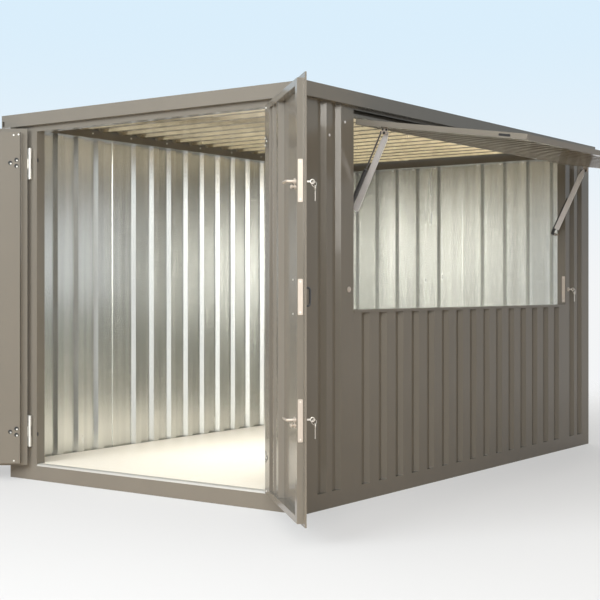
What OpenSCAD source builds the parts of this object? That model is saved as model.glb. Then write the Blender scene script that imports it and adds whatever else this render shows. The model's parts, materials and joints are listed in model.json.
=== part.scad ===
// Flat pack kiosk: ribbed steel walls on a folded base, double doors in front, a serving hatch on the right.
// Millimetres, +Z up, +Y from the doors to the back, origin on the ground under the middle of the base.

/* [Kiosk] */
// Width over the base rails
kiosk_w = 2150; // [1900:10:2500]
// Length over the base rails
kiosk_l = 3540; // [3300:10:4200]
// Height from the ground to the top of the roof edge
kiosk_h = 2150; // [2050:10:2400]

/* [Base and floor] */
// Height of the base rails
base_h = 84; // [70:1:110]
// Width of the base rail flanges
base_flange = 60; // [45:1:80]
// Thickness of the floor board
floor_t = 12; // [9:1:21]
// Number of floor bearers, odd so that one is in the middle
bearer_count = 5; // [3:2:7]
// Width of a floor bearer
bearer_w = 50; // [30:1:80]
// Depth of the threshold strip
threshold_d = 40; // [25:1:55]

/* [Sheet metal] */
// Thickness of frame and rail metal
frame_gauge = 3; // [2:0.5:4]
// Thickness of the ribbed sheet
sheet_gauge = 2; // [1:0.5:3]
// Depth of the ribs, sheet included
rib_depth = 28; // [18:1:32]
// Width of a rib at the outer face
rib_mouth = 80; // [60:1:90]
// Width of a rib at its floor
rib_floor = 48; // [30:1:54]
// Least distance between ribs of the side walls
side_pitch = 174; // [150:1:220]

/* [Roof edge] */
// How far the roof edge stands out from the walls
roof_overhang = 36; // [20:1:60]
// Height of the roof edge
fascia_h = 74; // [60:1:100]
// Width of the gutter floor inside the wall face
gutter_w = 65; // [50:1:90]
// Width of the lip along the top of the roof edge
fascia_lip = 25; // [10:1:40]

/* [Doors] */
// Width of the wall beside the doorway, on each side
door_pier_w = 229; // [190:1:320]
// Height of the rail over the doorway
door_head_h = 33; // [20:1:60]
// Depth of the door posts
jamb_d = 60; // [40:1:80]
// Thickness of a leaf frame
leaf_t = 30; // [24:1:40]
// Width of the leaf frame member at the hinges
hinge_stile_w = 125; // [90:1:140]
// Width of the leaf frame member at the free edge
free_stile_w = 45; // [35:1:80]
// Height of the leaf frame members at the top and the bottom
leaf_rail_h = 30; // [24:1:60]
// Depth of the folded edge of a leaf skin
hem_t = 8; // [5:1:12]
// How far the skin overlaps the doorway at the top and the sides
hem_lap = 23; // [12:1:24]
// How far the left leaf stands open
left_open = 143; // [95:1:170]
// How far the right leaf stands open
right_open = 137; // [95:1:170]
// Length of a door hinge
door_hinge_h = 181; // [120:1:220]

/* [Hatch] */
// Width of the wall in front of the hatch
hatch_front_pier = 455; // [420:1:520]
// Width of the wall behind the hatch
hatch_rear_pier = 405; // [400:1:520]
// Height of the counter
sill_top = 1012; // [900:1:1150]
// Height of the rail over the hatch
lintel_h = 50; // [35:1:80]
// Thickness of the flap
flap_t = 28; // [22:1:32]
// How far the flap stands open
flap_open = 81.4; // [60:0.1:88]
// Width of the flap's frame members at its ends and its outer edge
flap_stile_w = 45; // [30:1:80]
// Width of the flap's frame member along the hinge
flap_hinge_rail_w = 14; // [10:1:40]
// Distance of the gas struts from the ends of the hatch
strut_inset = 50; // [44:1:80]

/* [Hidden] */
$fn = 48;

// Colours
paint = [0.45, 0.42, 0.38];
zinc = [0.76, 0.78, 0.75];
board = [0.93, 0.88, 0.75];
steel = [0.80, 0.78, 0.72];
black = [0.10, 0.10, 0.10];

// Clearances
seam = 0.2;
swing_gap = 6;
board_gap = 2;
pin_gap = 0.1;
knuckle_gap = 0.5;

// Levels
fascia_z = kiosk_h - fascia_h;
wall_top = fascia_z;
roof_top = kiosk_h - sheet_gauge;
roof_seat = roof_top - rib_depth;
floor_top = base_h + floor_t;
head_z = wall_top - door_head_h;
lintel_z = wall_top - lintel_h;

// Drain of the gutter
drain_w = 18;
drain_h = 30;
drain_side = 6;
drain_rise = 8;

// Doorway and the corner legs of the wall posts
doorway_w = kiosk_w - 2 * door_pier_w;
post_leg = 30;

// Rows of ribs
side_end_panel = 870;
side_end_ribs = 4;
side_middle_panel = kiosk_l - 2 * post_leg - 2 * side_end_panel;
rear_panel = (kiosk_w - 2 * post_leg) / 2;
rear_ribs = 5;
rear_pitch = rear_panel / (rear_ribs + 0.5);
corner_rib_1 = 165;
corner_rib_2 = 297;
counter_first_rib = 117;
counter_pitch = 172.5;
strap_w = 90;

// Hatch opening, measured from the middle of the right wall
hatch_jamb_w = 20;
hatch_u0 = -kiosk_l / 2 + hatch_front_pier;
hatch_u1 = kiosk_l / 2 - hatch_rear_pier;
hatch_w = hatch_u1 - hatch_u0;
lintel_d = 45;
lintel_lip = 14;
sill_h = 16;
sill_out = 4;
sill_in = 70;

// Door hinges
hinge_pin_r = 5;
knuckle_r = 9;
hinge_plate_t = 3;
hinge_plate_w = 34;
hinge_u = doorway_w / 2 + 44;
hinge_v = -15;
hinge_low_z = base_h + 203;
hinge_high_drop = 220;
hinge_high_z = wall_top - hinge_high_drop;

// Door leaves, drawn closed
leaf_v = -5;
leaf_u0 = 4;
leaf_u1 = doorway_w / 2 - swing_gap;
leaf_z0 = floor_top + swing_gap;
leaf_z1 = head_z - swing_gap;
hem_v = leaf_v - hem_t;
hem_foot_gap = 4;
hem_z0 = base_h + hem_foot_gap;
hem_z1 = head_z + hem_lap - swing_gap;
hem_past_lap = 9;
hem_u1 = doorway_w / 2 + hem_lap + hem_past_lap;
hem_past_middle = -21;
hem_short_of_middle = -hem_past_middle + swing_gap;
leaf_rib_room = 2;
leaf_rib_pitch = 125;
leaf_rib_1 = leaf_u1 - hinge_stile_w - leaf_rib_room - rib_mouth / 2;
leaf_rib_2 = leaf_rib_1 - leaf_rib_pitch;

// Locks
lock_zs = [549, 1086, 1591];
lock_plate_hs = [187, 157, 187];
lock_plate_t = 2;
lock_plate_w = 22;
lever_out = 40;
lever_l = 100;
spindle_r = 6;
rose_r = 14;
rose_t = 6;
barrel_r = 12;
barrel_l = 8;
lock_setback_w = 45;
hatch_lock_rise = 106;
hatch_plate_h = 182;
handle_h = 90;
handle_out = 24;
handle_t = 8;

// Hatch hinge axis and flap, drawn closed
flap_axis_v = -5;
flap_axis_z = lintel_z - 8;
flap_top = flap_axis_z - 6;
flap_bottom = sill_top + swing_gap;
flap_side_gap = 8;
flap_u0 = hatch_u0 + flap_side_gap;
flap_u1 = hatch_u1 - flap_side_gap;
flap_hinge_h = 120;
flap_hinge_count = 4;
flap_knuckle_r = 6;
flap_pin_r = 3;

// Gas struts: lower pin in the wall, upper pin on the flap at rest
strut_low = [54, flap_axis_z - 518];
strut_high = [flap_axis_v - 158, flap_axis_z - 86];
strut_run = [strut_low[0] - strut_high[0], strut_high[1] - strut_low[1]];
strut_len = norm(strut_run);
strut_lean = atan2(strut_run[0], strut_run[1]);
tube_r = 11;
tube_len = 266;
rod_r = 4;
rod_room = 1;
rod_start = 230;
spring_in = 24;
eye_r = 9;
eye_t = 10;
pivot_r = 5;
stay_w = 36;
stay_t = 4;
stay_side = tube_r + swing_gap + stay_t / 2;
stay_start = 40;
ear_t = 4;

// Places a piece on a wall: u to the right seen from outside, v inwards from the outer face, z up
module on_wall(side) {
    turn = side == "front" ? 0 : side == "right" ? 90 : side == "rear" ? 180 : -90;
    reach = (side == "front" || side == "rear") ? kiosk_l / 2 : kiosk_w / 2;
    rotate([0, 0, turn])
        translate([0, -reach, 0])
            children();
}

// Bar along u with a section drawn in v and z
module along_wall(u0, u1) {
    translate([(u0 + u1) / 2, 0, 0])
        rotate([90, 0, 90])
            linear_extrude(height = u1 - u0, center = true)
                children();
}

// Rail along the whole of a wall, mitred at both ends
module mitred_rail(side, v0, v1) {
    half = (side == "front" || side == "rear") ? kiosk_w / 2 : kiosk_l / 2;
    far = half - v0 - seam / 2;
    near = half - v1 - seam / 2;
    on_wall(side)
        intersection() {
            along_wall(-far, far)
                children();
            linear_extrude(height = kiosk_h + base_h)
                polygon([[-far, v0], [far, v0], [near, v1], [-near, v1]]);
        }
}

// Plan of a ribbed sheet from u0 to u1 with ribs pressed inwards at the given middles
module ribbed_plan(u0, u1, middles) {
    a = rib_mouth / 2;
    b = rib_floor / 2;
    d = rib_depth - sheet_gauge;
    back = sheet_gauge * tan(atan2(d, a - b) / 2);
    face = [for (c = middles) each [[c - a, 0], [c - b, d], [c + b, d], [c + a, 0]]];
    rear = [for (c = middles) each [
        [c - a - back, sheet_gauge], [c - b - back, rib_depth],
        [c + b + back, rib_depth], [c + a + back, sheet_gauge]
    ]];
    last = len(rear) - 1;
    turned = [for (i = [0 : last]) rear[last - i]];
    polygon(concat([[u0, 0]], face, [[u1, 0], [u1, sheet_gauge]], turned, [[u0, sheet_gauge]]));
}

module ribbed_panel(u0, u1, z0, z1, middles) {
    translate([0, 0, z0])
        linear_extrude(height = z1 - z0)
            ribbed_plan(u0 + seam / 2, u1 - seam / 2, middles);
}

// Middles of a row of ribs centred between u0 and u1
function centred_row(u0, u1, count, pitch) =
    [for (i = [0 : count - 1]) (u0 + u1) / 2 + (i - (count - 1) / 2) * pitch];

// Base
module base_section() {
    g = frame_gauge;
    f = base_flange;
    polygon([[0, 0], [f, 0], [f, g], [g, g], [g, base_h - g], [f, base_h - g], [f, base_h], [0, base_h]]);
}

module base_rail(side) {
    color(paint)
        mitred_rail(side, 0, base_flange)
            base_section();
}

module base_front_rail() {
    base_rail("front");
}

module base_rear_rail() {
    base_rail("rear");
}

module base_left_rail() {
    base_rail("left");
}

module base_right_rail() {
    base_rail("right");
}

module floor_bearers() {
    half = kiosk_w / 2 - base_flange - seam;
    step = (kiosk_l - 2 * base_flange) / (bearer_count + 1);
    g = frame_gauge;
    w = bearer_w / 2;
    color(zinc)
        for (i = [0 : bearer_count - 1])
            translate([0, (i - (bearer_count - 1) / 2) * step, 0])
                along_wall(-half, half)
                    polygon([
                        [-w, 0], [w, 0], [w, g], [g - w, g],
                        [g - w, base_h - g], [w, base_h - g], [w, base_h], [-w, base_h]
                    ]);
}

module floor_board() {
    side_room = rib_depth + 3 * board_gap;
    half_u = kiosk_w / 2 - side_room;
    tongue_u = doorway_w / 2 - 2 * board_gap;
    front_v = jamb_d + board_gap;
    color(board)
        on_wall("front")
            translate([0, 0, base_h])
                linear_extrude(height = floor_t)
                    difference() {
                        union() {
                            rect(-half_u, front_v, half_u, kiosk_l - side_room);
                            rect(-tongue_u, threshold_d + board_gap / 2, tongue_u, front_v);
                        }
                        for (u = [hatch_u0 - hatch_jamb_w, hatch_u1])
                            rect(kiosk_w / 2 - jamb_d - board_gap, kiosk_l / 2 + u - board_gap,
                                kiosk_w / 2, kiosk_l / 2 + u + hatch_jamb_w + board_gap);
                    }
}

// Strip along the doorway with a rounded nose
module threshold() {
    r = floor_t;
    nose = [for (a = [180 : -15 : 90]) [r + r * cos(a), base_h + r * sin(a)]];
    half = doorway_w / 2 - seam;
    color(zinc)
        on_wall("front")
            along_wall(-half, half)
                polygon(concat(nose, [[threshold_d, base_h + r], [threshold_d, base_h]]));
}

// Posts
module front_post_plan(hand) {
    a = doorway_w / 2;
    b = kiosk_w / 2;
    g = frame_gauge;
    mirror([hand < 0 ? 1 : 0, 0])
        polygon([
            [a, 0], [b, 0], [b, post_leg - seam], [b - g, post_leg - seam],
            [b - g, g], [a + g, g], [a + g, jamb_d], [a, jamb_d]
        ]);
}

module front_post(hand) {
    color(paint)
        on_wall("front")
            translate([0, 0, base_h])
                linear_extrude(height = wall_top - base_h)
                    front_post_plan(hand);
}

module front_posts() {
    for (hand = [-1, 1])
        front_post(hand);
}

module rear_post(hand) {
    b = kiosk_w / 2;
    g = frame_gauge;
    leg = post_leg - seam;
    color(paint)
        on_wall("rear")
            translate([0, 0, base_h])
                linear_extrude(height = wall_top - base_h)
                    mirror([hand < 0 ? 1 : 0, 0])
                        polygon([[b - leg, 0], [b, 0], [b, leg], [b - g, leg], [b - g, g], [b - leg, g]]);
}

module rear_posts() {
    for (hand = [-1, 1])
        rear_post(hand);
}

module door_head() {
    g = frame_gauge;
    half = doorway_w / 2 - seam;
    color(paint)
        on_wall("front")
            along_wall(-half, half)
                polygon([
                    [0, head_z], [jamb_d, head_z], [jamb_d, head_z + g],
                    [g, head_z + g], [g, wall_top], [0, wall_top]
                ]);
}

// Left wall, u runs from the back to the front
module left_panel(u0, u1, count) {
    color(paint)
        on_wall("left")
            ribbed_panel(u0, u1, base_h, wall_top, centred_row(u0, u1, count, side_pitch));
}

module left_wall_front_panel() {
    u1 = kiosk_l / 2 - post_leg;
    left_panel(u1 - side_end_panel, u1, side_end_ribs);
}

module left_wall_middle_panel() {
    count = round(side_middle_panel / side_pitch) - 1;
    left_panel(-side_middle_panel / 2, side_middle_panel / 2, count);
}

module left_wall_rear_panel() {
    u0 = -kiosk_l / 2 + post_leg;
    left_panel(u0, u0 + side_end_panel, side_end_ribs);
}

// Flat strap over a joint, on the inner face of the sheet
module joint_strap(u) {
    translate([u - strap_w / 2, sheet_gauge, base_h])
        cube([strap_w, frame_gauge, wall_top - base_h]);
}

// Rear wall, u runs from the right to the left
module rear_panel_sheet(hand) {
    rows = [for (i = [1 : rear_ribs]) i * rear_pitch];
    color(paint)
        on_wall("rear")
            mirror([hand < 0 ? 1 : 0, 0])
                ribbed_panel(0, rear_panel, base_h, wall_top, rows);
}

module rear_wall_left_panel() {
    rear_panel_sheet(1);
}

module rear_wall_right_panel() {
    rear_panel_sheet(-1);
}

module wall_joint_straps() {
    color(zinc) {
        on_wall("left")
            for (hand = [-1, 1])
                joint_strap(hand * side_middle_panel / 2);
        on_wall("rear")
            joint_strap(0);
    }
}

// Right wall, u runs from the front to the back
module right_wall_front_panel() {
    corner = -kiosk_l / 2;
    color(paint)
        on_wall("right")
            ribbed_panel(corner + post_leg, hatch_u0 - hatch_jamb_w, base_h, wall_top,
                [corner + corner_rib_1, corner + corner_rib_2]);
}

module right_wall_rear_panel() {
    corner = kiosk_l / 2;
    color(paint)
        on_wall("right")
            ribbed_panel(hatch_u1 + hatch_jamb_w, corner - post_leg, base_h, wall_top,
                [corner - corner_rib_2, corner - corner_rib_1]);
}

module counter_panel() {
    count = floor((hatch_w - counter_first_rib - rib_mouth) / counter_pitch) + 1;
    rows = [for (i = [0 : count - 1]) hatch_u0 + counter_first_rib + i * counter_pitch];
    color(paint)
        on_wall("right")
            ribbed_panel(hatch_u0, hatch_u1, base_h, sill_top - frame_gauge, rows);
}

module hatch_jamb(u0) {
    g = frame_gauge;
    color(paint)
        on_wall("right")
            translate([u0, 0, base_h])
                linear_extrude(height = wall_top - base_h)
                    difference() {
                        translate([seam / 2, 0])
                            square([hatch_jamb_w - seam, jamb_d]);
                        translate([g, g])
                            square([hatch_jamb_w - 2 * g, jamb_d - 2 * g]);
                    }
}

module hatch_jambs() {
    hatch_jamb(hatch_u0 - hatch_jamb_w);
    hatch_jamb(hatch_u1);
}

// Channel that is open to the outside over the hinge of the flap
module hatch_lintel() {
    g = frame_gauge;
    color(paint)
        on_wall("right")
            along_wall(hatch_u0 + seam / 2, hatch_u1 - seam / 2)
                polygon([
                    [0, lintel_z], [lintel_d, lintel_z], [lintel_d, wall_top], [0, wall_top],
                    [0, wall_top - lintel_lip], [g, wall_top - lintel_lip], [g, wall_top - g],
                    [lintel_d - g, wall_top - g], [lintel_d - g, lintel_z + g], [g, lintel_z + g],
                    [g, lintel_z + lintel_lip], [0, lintel_z + lintel_lip]
                ]);
}

// Folded cap over the counter panel
module hatch_sill() {
    g = frame_gauge;
    z0 = sill_top - sill_h;
    color(paint)
        on_wall("right")
            along_wall(hatch_u0 + seam, hatch_u1 - seam)
                polygon([
                    [-sill_out, z0], [-sill_out, sill_top], [sill_in, sill_top], [sill_in, z0],
                    [sill_in - g, z0], [sill_in - g, sill_top - g],
                    [g - sill_out, sill_top - g], [g - sill_out, z0]
                ]);
}

// Roof
module fascia_section() {
    g = frame_gauge;
    out = -roof_overhang;
    polygon([
        [out, fascia_z], [gutter_w, fascia_z], [gutter_w, roof_seat], [gutter_w - g, roof_seat],
        [gutter_w - g, fascia_z + g], [out + g, fascia_z + g], [out + g, kiosk_h - g],
        [out + fascia_lip, kiosk_h - g], [out + fascia_lip, kiosk_h], [out, kiosk_h]
    ]);
}

module fascia(side) {
    color(paint)
        mitred_rail(side, -roof_overhang, gutter_w)
            fascia_section();
}

// The front one has a drain in its face at the left end
module front_fascia() {
    color(paint)
        difference() {
            fascia("front");
            on_wall("front")
                translate([drain_side - kiosk_w / 2 - roof_overhang, -roof_overhang - 1, fascia_z + drain_rise])
                    cube([drain_w, frame_gauge + 2, drain_h]);
        }
}

module rear_fascia() {
    fascia("rear");
}

module left_fascia() {
    fascia("left");
}

module right_fascia() {
    fascia("right");
}

// Ribbed sheet lying on the inner edge of the gutters, ribs across the kiosk
module roof_sheet() {
    bearing = 20;
    half_u = kiosk_l / 2 - gutter_w + bearing;
    span = kiosk_w - 2 * gutter_w + 2 * bearing;
    count = floor((2 * half_u - rib_mouth) / side_pitch);
    color(zinc)
        translate([0, 0, roof_top])
            rotate([0, -90, 0])
                rotate([0, 0, 90])
                    linear_extrude(height = span, center = true)
                        ribbed_plan(-half_u, half_u, centred_row(-half_u, half_u, count, side_pitch));
}

// Hinges: two outer knuckles with the pin on the fixed side, one middle knuckle on the moving side
module knuckle(r, z0, z1, bore) {
    translate([0, 0, z0])
        difference() {
            cylinder(r = r, h = z1 - z0);
            if (bore > 0)
                translate([0, 0, -1])
                    cylinder(r = bore, h = z1 - z0 + 2);
        }
}

module fixed_hinge(length, r, pin_r, plate) {
    third = length / 6;
    half = length / 2;
    for (z = [-half, third])
        knuckle(r, z, z + 2 * third, 0);
    cylinder(r = pin_r, h = length, center = true);
    for (z = [-half, third])
        translate([0, 0, z])
            linear_extrude(height = 2 * third)
                polygon(plate);
}

module moving_hinge(length, r, pin_r, plate) {
    reach = length / 6 - knuckle_gap;
    knuckle(r, -reach, reach, pin_r + pin_gap);
    translate([0, 0, -reach])
        linear_extrude(height = 2 * reach)
            difference() {
                polygon(plate);
                circle(r = pin_r + pin_gap);
            }
}

// Plan of the plate on a door post, drawn for the right hand side from the hinge axis
fixed_plate = [
    [0, 0], [knuckle_r, 0], [knuckle_r, -hinge_v - hinge_plate_t], [hinge_plate_w, -hinge_v - hinge_plate_t],
    [hinge_plate_w, -hinge_v], [0, -hinge_v]
];

module post_hinges(hand) {
    color(zinc)
        on_wall("front")
            for (z = [hinge_low_z, hinge_high_z])
                mirror([hand < 0 ? 1 : 0, 0, 0])
                    translate([hinge_u, hinge_v, z])
                        fixed_hinge(door_hinge_h, knuckle_r, hinge_pin_r, fixed_plate);
}

module door_post_hinges() {
    for (hand = [-1, 1])
        post_hinges(hand);
}

// Swings a leaf that is drawn closed on the right hand side
module swung_leaf(hand, angle) {
    on_wall("front")
        mirror([hand < 0 ? 1 : 0, 0, 0])
            translate([hinge_u, hinge_v, 0])
                rotate([0, 0, angle])
                    translate([-hinge_u, -hinge_v, 0])
                        children();
}

// Extrudes a shape drawn in u and z through v0 to v1
module through_leaf(v0, v1) {
    translate([0, v1, 0])
        rotate([90, 0, 0])
            linear_extrude(height = v1 - v0)
                children();
}

module rect(u0, z0, u1, z1) {
    translate([u0, z0])
        square([u1 - u0, z1 - z0]);
}

module leaf_frame() {
    through_leaf(leaf_v, leaf_v + leaf_t)
        difference() {
            rect(leaf_u0, leaf_z0, leaf_u1, leaf_z1);
            rect(leaf_u0 + free_stile_w, leaf_z0 + leaf_rail_h, leaf_u1 - hinge_stile_w, leaf_z1 - leaf_rail_h);
        }
}

module leaf_skin(free_edge) {
    u0 = leaf_u0 + free_stile_w;
    u1 = leaf_u1 - hinge_stile_w;
    z0 = leaf_z0 + leaf_rail_h;
    z1 = leaf_z1 - leaf_rail_h;
    through_leaf(hem_v, leaf_v)
        difference() {
            rect(free_edge, hem_z0, hem_u1, hem_z1);
            rect(u0, z0, u1, z1);
        }
    translate([0, hem_v, z0])
        linear_extrude(height = z1 - z0)
            ribbed_plan(u0, u1, [leaf_rib_2, leaf_rib_1]);
}

// Plan of the plate on a leaf, drawn from the hinge axis
leaf_plate_v = hem_v - hinge_v;
leaf_plate = [[-hinge_plate_w, leaf_plate_v - hinge_plate_t], [0, leaf_plate_v - hinge_plate_t],
    [0, leaf_plate_v], [-hinge_plate_w, leaf_plate_v]];

module leaf_hinges() {
    for (z = [hinge_low_z, hinge_high_z])
        translate([hinge_u, hinge_v, z])
            moving_hinge(door_hinge_h, knuckle_r, hinge_pin_r, leaf_plate);
}

// The left leaf's free stile is cut back so that the right leaf's edge laps over it
module left_leaf_frame() {
    color(paint)
        swung_leaf(-1, left_open)
            difference() {
                leaf_frame();
                translate([leaf_u0 - 1, leaf_v - 1, leaf_z0 - 1])
                    cube([hem_short_of_middle - leaf_u0 + 1, swing_gap + 1, leaf_z1 - leaf_z0 + 2]);
            }
}

module left_leaf_skin() {
    color(paint)
        swung_leaf(-1, left_open)
            leaf_skin(hem_short_of_middle);
}

module left_leaf_hinges() {
    color(zinc)
        swung_leaf(-1, left_open)
            leaf_hinges();
}

module right_leaf_frame() {
    color(paint)
        swung_leaf(1, right_open)
            leaf_frame();
}

module right_leaf_skin() {
    color(paint)
        swung_leaf(1, right_open)
            leaf_skin(hem_past_middle);
}

module right_leaf_hinges() {
    color(zinc)
        swung_leaf(1, right_open)
            leaf_hinges();
}

// Face plates on the free edge, levers inside and key barrels outside
module right_leaf_locks() {
    inner_v = leaf_v + leaf_t;
    lock_u = leaf_u0 + lock_setback_w;
    color(steel)
        swung_leaf(1, right_open) {
            for (i = [0 : len(lock_zs) - 1])
                translate([leaf_u0 - lock_plate_t, leaf_v + (leaf_t - lock_plate_w) / 2,
                        lock_zs[i] - lock_plate_hs[i] / 2])
                    cube([lock_plate_t, lock_plate_w, lock_plate_hs[i]]);
            for (z = [lock_zs[0], lock_zs[2]]) {
                translate([lock_u, inner_v, z])
                    rotate([-90, 0, 0]) {
                        cylinder(r = rose_r, h = rose_t);
                        cylinder(r = spindle_r, h = lever_out);
                    }
                translate([lock_u - spindle_r, inner_v + lever_out - 2 * spindle_r, z - spindle_r])
                    cube([lever_l, 2 * spindle_r, 2 * spindle_r]);
                translate([lock_u, hem_v, z])
                    rotate([90, 0, 0])
                        cylinder(r = barrel_r, h = barrel_l);
            }
        }
}

// Pull handle outside at the middle lock
module right_leaf_handle() {
    u = leaf_u0 + lock_setback_w;
    color(black)
        swung_leaf(1, right_open)
            translate([u, hem_v, lock_zs[1]])
                rotate([0, -90, 0])
                    linear_extrude(height = handle_t, center = true)
                        difference() {
                            translate([-handle_h / 2, -handle_out])
                                square([handle_h, handle_out]);
                            translate([handle_t - handle_h / 2, handle_t - handle_out])
                                square([handle_h - 2 * handle_t, handle_out]);
                        }
}

// Hatch hinge
module along_flap_axis(u) {
    translate([u, flap_axis_v, flap_axis_z])
        rotate([0, 90, 0])
            children();
}

function flap_hinge_us() = let (span = flap_u1 - flap_u0)
    [for (i = [0 : flap_hinge_count - 1]) flap_u0 + span * (i + 0.5) / flap_hinge_count];

module hatch_hinges() {
    rise = lintel_z + lintel_lip - flap_axis_z;
    plate = [[0, 0], [-rise, 0], [-rise, -flap_axis_v], [0, -flap_axis_v]];
    color(zinc)
        on_wall("right")
            for (u = flap_hinge_us())
                along_flap_axis(u)
                    fixed_hinge(flap_hinge_h, flap_knuckle_r, flap_pin_r, plate);
}

// Swings what is drawn on the closed flap
module swung_flap() {
    on_wall("right")
        translate([0, flap_axis_v, flap_axis_z])
            rotate([-flap_open, 0, 0])
                translate([0, -flap_axis_v, -flap_axis_z])
                    children();
}

module flap_hinges() {
    drop = flap_axis_z - flap_top + hinge_plate_w / 2;
    plate = [[0, 0], [drop, 0], [drop, -flap_axis_v], [0, -flap_axis_v]];
    color(zinc)
        swung_flap()
            for (u = flap_hinge_us())
                along_flap_axis(u)
                    moving_hinge(flap_hinge_h, flap_knuckle_r, flap_pin_r, plate);
}

module flap_frame() {
    color(paint)
        swung_flap()
            through_leaf(sheet_gauge, flap_t)
                difference() {
                    rect(flap_u0, flap_bottom, flap_u1, flap_top);
                    rect(flap_u0 + flap_stile_w, flap_bottom + flap_stile_w,
                        flap_u1 - flap_stile_w, flap_top - flap_hinge_rail_w);
                }
}

module flap_skin() {
    u0 = flap_u0 + flap_stile_w;
    u1 = flap_u1 - flap_stile_w;
    z0 = flap_bottom + flap_stile_w;
    z1 = flap_top - flap_hinge_rail_w;
    count = floor((u1 - u0 - rib_mouth) / counter_pitch) + 1;
    color(paint)
        swung_flap() {
            through_leaf(0, sheet_gauge)
                difference() {
                    rect(flap_u0, flap_bottom, flap_u1, flap_top);
                    rect(u0, z0, u1, z1);
                }
            translate([0, 0, z0])
                linear_extrude(height = z1 - z0)
                    ribbed_plan(u0, u1, centred_row(u0, u1, count, counter_pitch));
        }
}

// Turns a point on the open flap, in v and z, back to the closed flap
function closed_point(p) = let (dv = p[0] - flap_axis_v, dz = p[1] - flap_axis_z)
    [flap_axis_v + dv * cos(flap_open) - dz * sin(flap_open),
     flap_axis_z + dv * sin(flap_open) + dz * cos(flap_open)];

strut_us = [hatch_u0 + strut_inset, hatch_u1 - strut_inset];
strut_hands = [1, -1];

// Ears on the flap beside the upper ends of the struts, on the side of the jamb
module flap_brackets() {
    tip = closed_point(strut_high);
    half = 2 * eye_r;
    top = tip[0] + eye_r;
    color(steel)
        swung_flap()
            for (i = [0, 1])
                translate([strut_us[i] - strut_hands[i] * (eye_t / 2 + knuckle_gap + ear_t / 2), 0, 0])
                    rotate([90, 0, 90])
                        linear_extrude(height = ear_t, center = true)
                            polygon([
                                [flap_t, tip[1] - half], [flap_t, tip[1] + half], [tip[0], tip[1] + half],
                                [top, tip[1] + eye_r], [top, tip[1] - eye_r], [tip[0], tip[1] - half]
                            ]);
}

// Draws along a strut: x along the wall, y across the strut towards the room, z from the lower to the upper pin
module along_strut(i) {
    on_wall("right")
        translate([strut_us[i], strut_low[0], strut_low[1]])
            rotate([strut_lean, 0, 0])
                children();
}

// Gas spring body beside the line of the pins, on a lug that turns on the lower pin
module strut_tube(i) {
    color(black)
        along_strut(i)
            difference() {
                union() {
                    rotate([0, 90, 0])
                        cylinder(r = eye_r, h = eye_t, center = true);
                    translate([-eye_t / 2, 0, -eye_r])
                        cube([eye_t, spring_in + eye_r, 2 * eye_r]);
                    translate([0, spring_in, 0])
                        cylinder(r = tube_r, h = tube_len);
                }
                translate([0, spring_in, eye_r + frame_gauge])
                    cylinder(r = rod_r + rod_room, h = tube_len);
                rotate([0, 90, 0])
                    cylinder(r = pivot_r + pin_gap, h = 2 * eye_t, center = true);
            }
}

// Spring rod and the flat stay that slides down beside the spring, joined at the upper pin
module strut_rod(i) {
    side = strut_hands[i] * stay_side;
    half = stay_w / 2;
    shoulder = strut_len - stay_w;
    tip = strut_len + eye_r;
    color(steel)
        along_strut(i) {
            translate([0, spring_in, rod_start])
                cylinder(r = rod_r, h = strut_len - rod_start);
            translate([-eye_t / 2, 0, strut_len - eye_r])
                cube([eye_t, spring_in + rod_r, eye_r]);
            translate([0, 0, strut_len])
                rotate([0, 90, 0])
                    cylinder(r = eye_r, h = eye_t, center = true);
            translate([side, 0, 0])
                rotate([90, 0, 90])
                    linear_extrude(height = stay_t, center = true)
                        polygon([
                            [-half, stay_start], [half, stay_start], [half, shoulder], [eye_r, strut_len],
                            [pivot_r, tip], [-pivot_r, tip], [-eye_r, strut_len], [-half, shoulder]
                        ]);
            translate([strut_hands[i] > 0 ? 0 : side, 0, strut_len])
                rotate([0, 90, 0])
                    cylinder(r = pivot_r, h = stay_side);
        }
}

module front_strut_tube() {
    strut_tube(0);
}

module front_strut_rod() {
    strut_rod(0);
}

module rear_strut_tube() {
    strut_tube(1);
}

module rear_strut_rod() {
    strut_rod(1);
}

// Pins in the jambs that carry the lower ends of the struts
module strut_pins() {
    reach = strut_inset + eye_t / 2;
    color(steel)
        on_wall("right")
            for (i = [0, 1])
                translate([strut_us[i] + strut_hands[i] * eye_t / 2, strut_low[0], strut_low[1]])
                    rotate([0, -90 * strut_hands[i], 0])
                        cylinder(r = pivot_r, h = reach);
}

// Face plates in the hatch reveals with key barrels on the wall outside
module hatch_locks() {
    z = sill_top + hatch_lock_rise;
    color(steel)
        on_wall("right")
            for (i = [0, 1]) {
                edge = i == 0 ? hatch_u0 : hatch_u1;
                hand = strut_hands[i];
                translate([edge + (hand > 0 ? 0 : -lock_plate_t), (flap_t - lock_plate_w) / 2,
                        z - hatch_plate_h / 2])
                    cube([lock_plate_t, lock_plate_w, hatch_plate_h]);
                translate([edge - hand * lock_setback_w, 0, z])
                    rotate([90, 0, 0])
                        cylinder(r = barrel_r, h = barrel_l);
            }
}

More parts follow.
